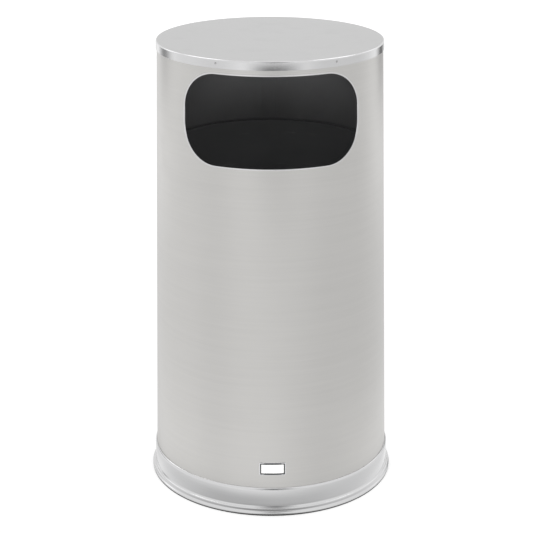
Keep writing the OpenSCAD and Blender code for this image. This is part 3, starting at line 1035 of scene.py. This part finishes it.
def place_camera():
    """A view camera. The photograph's upright edges stay parallel although it looks down, so its film stood
    upright. That film comes from an unevenly scaled mount that carries a camera with no shift. A viewer that
    takes the camera off its mount to look from elsewhere has a plain camera with the same lens."""
    stage = bpy.context.scene.bin_stage
    middle = stage.frame_px / 2
    aside = (middle - stage.axis_px) / stage.focal_px
    down = (middle - stage.horizon_px) / stage.focal_px
    ray = Vector((aside, 1.0, -down))
    turn = Matrix.Rotation(-stage.turn, 3, "Z")
    axes = Matrix((Vector((1, 0, 0)), Vector((stage.lean, 0, 1)), -ray.normalized())).transposed()
    stretch, scale, tilt = np.linalg.svd(np.array(turn @ axes))
    if np.linalg.det(stretch) < 0:
        stretch[:, 2] *= -1
        tilt[2] *= -1
    data = bpy.data.cameras.new("view_camera")
    data.sensor_width = 36.0
    data.lens = stage.focal_px * ray.length / stage.frame_px * data.sensor_width
    mount = bpy.data.objects.new("camera_mount", None)
    view = bpy.data.objects.new("view_camera", data)
    for obj in (mount, view):
        bpy.context.scene.collection.objects.link(obj)
    place = turn @ Vector((0, -stage.distance, stage.height))
    mount.matrix_basis = Matrix.Translation(place) @ Matrix(stretch).to_4x4() @ Matrix.Diagonal((*scale, 1))
    view.parent = mount
    view.matrix_basis = Matrix(tilt).to_4x4()
    bpy.context.scene.camera = view


def studio():
    """The floor, the light, the cards and the camera."""
    mesh = bpy.data.meshes.new("floor")
    bm = bmesh.new()
    bmesh.ops.create_grid(bm, x_segments=1, y_segments=1, size=FLOOR_REACH)
    bm.to_mesh(mesh)
    bm.free()
    mesh.materials.append(stage_material())
    floor = bpy.data.objects.new("floor", mesh)
    bpy.context.scene.collection.objects.link(floor)
    world_light()
    lamp("overhead", 3.4, 1.5, (0, 0.9, 3.2), (0, 0, 0), mirrored=False)
    lamp("high_left", 1.3, 1.6, around_bin(-124, 1.7, 3.1), (0, 0, 0.4))
    lamp("high_right", 1.3, 1.6, around_bin(128, 1.7, 3.1), (0, 0, 0.4))
    lamp("high_back", 1.1, 1.6, around_bin(178, 2.1, 3.3), (0, 0, 0.4))
    lamp("inside_front", 1.2, 17.5, around_bin(-2, 3.5, 0.1), (0, 0, 0.6), mirrored=False)
    lamp("inside_left", 1.1, 6.0, around_bin(-28, 3.4, 0.55), (0, 0, 0.6), mirrored=False)
    lamp("inside_right", 1.1, 6.0, around_bin(28, 3.4, 0.55), (0, 0, 0.6), mirrored=False)
    lamp("inside_low_left", 0.8, 10.0, around_bin(-28, 2.6, 1.6), (0, 0, 0.5), mirrored=False)
    lamp("inside_low_right", 0.8, 10.0, around_bin(24, 2.6, 1.6), (0, 0, 0.5), mirrored=False)
    # Cards that glow only in reflections and light nothing: painted reflections
    card("front_low", 3.3, 0.8, around_bin(4, 2.6, 0.08), 0.12)
    card("front_high", 2.6, 6.0, around_bin(4, 2.9, 3.2), 0.02)
    card("side_left", 1.5, 2.4, around_bin(-124, 2.5, 2.0), 1.85)
    card("side_right", 1.5, 2.4, around_bin(128, 2.5, 2.0), 1.6)
    card("back_left", 1.9, 0.5, around_bin(-127, 2.4, 0.27), 0.34)
    card("back_right", 1.6, 0.5, around_bin(142, 2.4, 0.26), 0.16)
    place_camera()
    bpy.context.scene.view_settings.view_transform = "Standard"


# Operators

class BIN_OT_body(bpy.types.Operator):
    """Build the rolled body sheet, its seam backing and the bead round its opening"""

    bl_idname = "waste_bin.body"
    bl_label = "Body"

    def execute(self, context):
        body_sheet()
        opening_bead()
        seam_backing()
        return {"FINISHED"}


class BIN_OT_mouth(bpy.types.Operator):
    """Build the rolled ring inside the mouth"""

    bl_idname = "waste_bin.mouth"
    bl_label = "Mouth ring"

    def execute(self, context):
        mouth_roll()
        return {"FINISHED"}


class BIN_OT_base(bpy.types.Operator):
    """Build the base band, pan, rivets and floor ring"""

    bl_idname = "waste_bin.base"
    bl_label = "Base"

    def execute(self, context):
        base_trim()
        pan_pressing()
        pan_rivets()
        floor_guard()
        return {"FINISHED"}


class BIN_OT_lid(bpy.types.Operator):
    """Build the lid and its channel"""

    bl_idname = "waste_bin.lid"
    bl_label = "Lid"

    def execute(self, context):
        lid_pressing()
        lid_stiffener()
        return {"FINISHED"}


class BIN_OT_liner(bpy.types.Operator):
    """Build the moulded liner"""

    bl_idname = "waste_bin.liner"
    bl_label = "Liner"

    def execute(self, context):
        liner_moulding()
        return {"FINISHED"}


class BIN_OT_plate(bpy.types.Operator):
    """Build the blank plate"""

    bl_idname = "waste_bin.plate"
    bl_label = "Blank plate"

    def execute(self, context):
        blank_plate()
        return {"FINISHED"}


class BIN_OT_stage(bpy.types.Operator):
    """Build the floor, light and camera"""

    bl_idname = "waste_bin.stage"
    bl_label = "Studio"

    def execute(self, context):
        studio()
        return {"FINISHED"}


OPERATORS = (BIN_OT_body, BIN_OT_mouth, BIN_OT_base, BIN_OT_lid, BIN_OT_liner, BIN_OT_plate, BIN_OT_stage)


class BIN_PT_panel(bpy.types.Panel):
    """Sizes, colours and building steps of the waste bin"""

    bl_idname = "BIN_PT_panel"
    bl_label = "Waste bin"
    bl_space_type = "VIEW_3D"
    bl_region_type = "UI"
    bl_category = "Waste bin"

    def draw(self, context):
        for group in (context.scene.bin_sizes, context.scene.bin_colours, context.scene.bin_stage):
            box = self.layout.box()
            for key in group.bl_rna.properties.keys():
                if key not in ("rna_type", "name"):
                    box.prop(group, key)
        for operator in OPERATORS:
            self.layout.operator(operator.bl_idname)


CLASSES = (BinSizes, BinColours, StageSettings, *OPERATORS, BIN_PT_panel)


def register():
    for cls in CLASSES:
        bpy.utils.register_class(cls)
    bpy.types.Scene.bin_sizes = PointerProperty(type=BinSizes)
    bpy.types.Scene.bin_colours = PointerProperty(type=BinColours)
    bpy.types.Scene.bin_stage = PointerProperty(type=StageSettings)


def unregister():
    del bpy.types.Scene.bin_stage
    del bpy.types.Scene.bin_colours
    del bpy.types.Scene.bin_sizes
    for cls in reversed(CLASSES):
        bpy.utils.unregister_class(cls)


def main():
    register()
    for operator in OPERATORS:
        group, name = operator.bl_idname.split(".")
        getattr(getattr(bpy.ops, group), name)()


if __name__ == "__main__":
    main()
